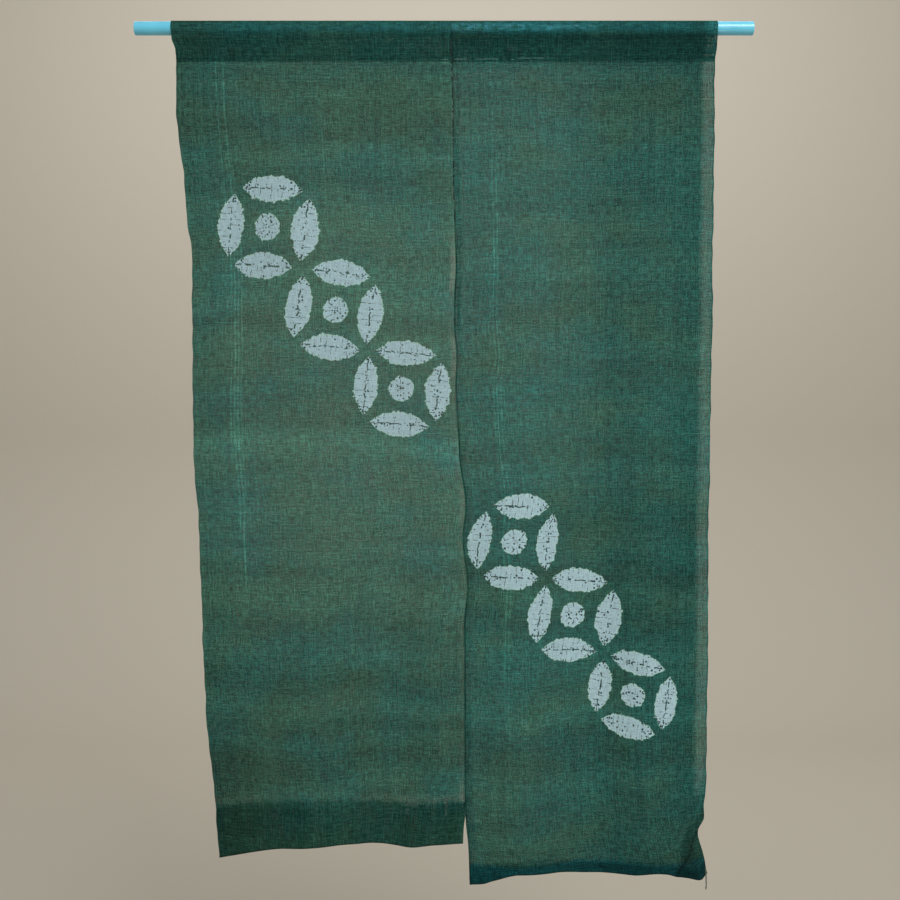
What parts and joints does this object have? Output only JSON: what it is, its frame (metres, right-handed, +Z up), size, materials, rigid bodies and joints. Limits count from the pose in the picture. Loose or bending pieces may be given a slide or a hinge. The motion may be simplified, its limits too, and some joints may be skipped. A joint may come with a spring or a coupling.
{
  "type": "noren curtain on its rod",
  "caption": "Two-panel split doorway curtain of sheer cloth, hung by a sewn pocket from a plain round rod, with soft folds and a slit up the middle.",
  "frame": {"origin": "on the rod's axis, halfway along the rod", "axes": "+X along the rod to the right as seen from the front, +Z up, and the front of the cloth faces -Y"},
  "size_m": [1, 0.0844, 1.4025],
  "materials": {
    "cloth": "sheer plain-woven hemp",
    "rod": "gloss"
  },
  "bodies": {
    "root": {"left_panel": "cloth", "right_panel": "cloth", "rod": "rod"}
  },
  "joints": []
}
